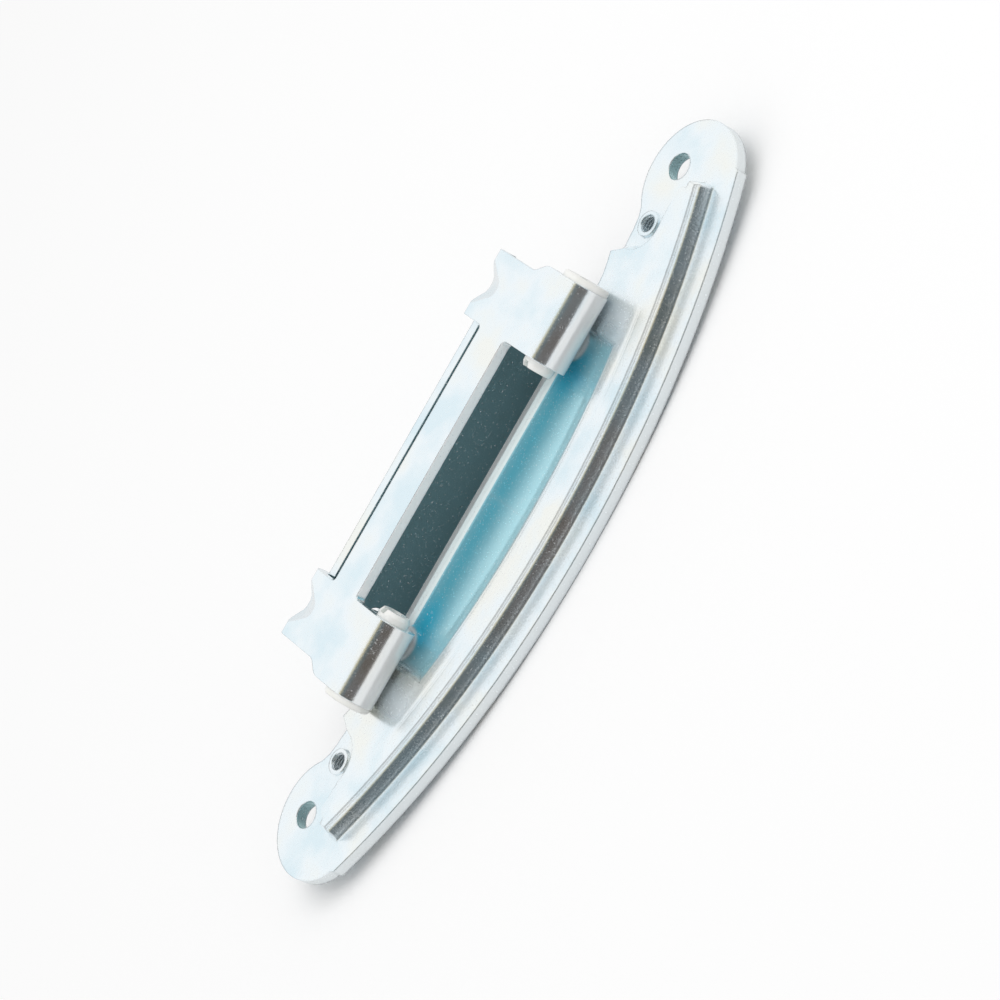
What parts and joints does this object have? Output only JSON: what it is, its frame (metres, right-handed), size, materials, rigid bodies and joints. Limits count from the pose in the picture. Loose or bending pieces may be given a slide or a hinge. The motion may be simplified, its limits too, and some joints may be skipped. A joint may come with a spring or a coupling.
{
  "type": "appliance door hinge",
  "caption": "Door hinge with a crescent-shaped mounting plate and a bracket that turns on two short pins in rolled knuckles, for a round front-loading door.",
  "frame": {"origin": "midway between the two fixing holes of the mounting plate, on the plate's back face", "axes": "+X across the plate from the hinge pins to the curved edge, +Y along the hinge pins, +Z out of the plate's front face"},
  "size_m": [0.0607, 0.1924, 0.0287],
  "materials": {
    "plate_zinc": "steel sheet with bright blue-passivated zinc plate",
    "bracket_zinc": "steel sheet with bright blue-passivated zinc plate",
    "pin_steel": "bright drawn steel",
    "bush_plastic": "natural white acetal, satin as moulded"
  },
  "bodies": {
    "plate_leaf": {"mounting_plate": "plate_zinc", "hinge_pin_upper": "pin_steel", "hinge_pin_lower": "pin_steel"},
    "bracket_leaf": {"bracket": "bracket_zinc", "outer_bush_upper": "bush_plastic", "outer_bush_lower": "bush_plastic", "inner_bush_upper": "bush_plastic", "inner_bush_lower": "bush_plastic"}
  },
  "joints": [
    {"name": "door_hinge", "type": "hinge", "parent": "plate_leaf", "child": "bracket_leaf", "pos_m": [0.0048, 0, 0.0128], "axis": [0, 1, 0], "range_deg": [0, 100]}
  ]
}
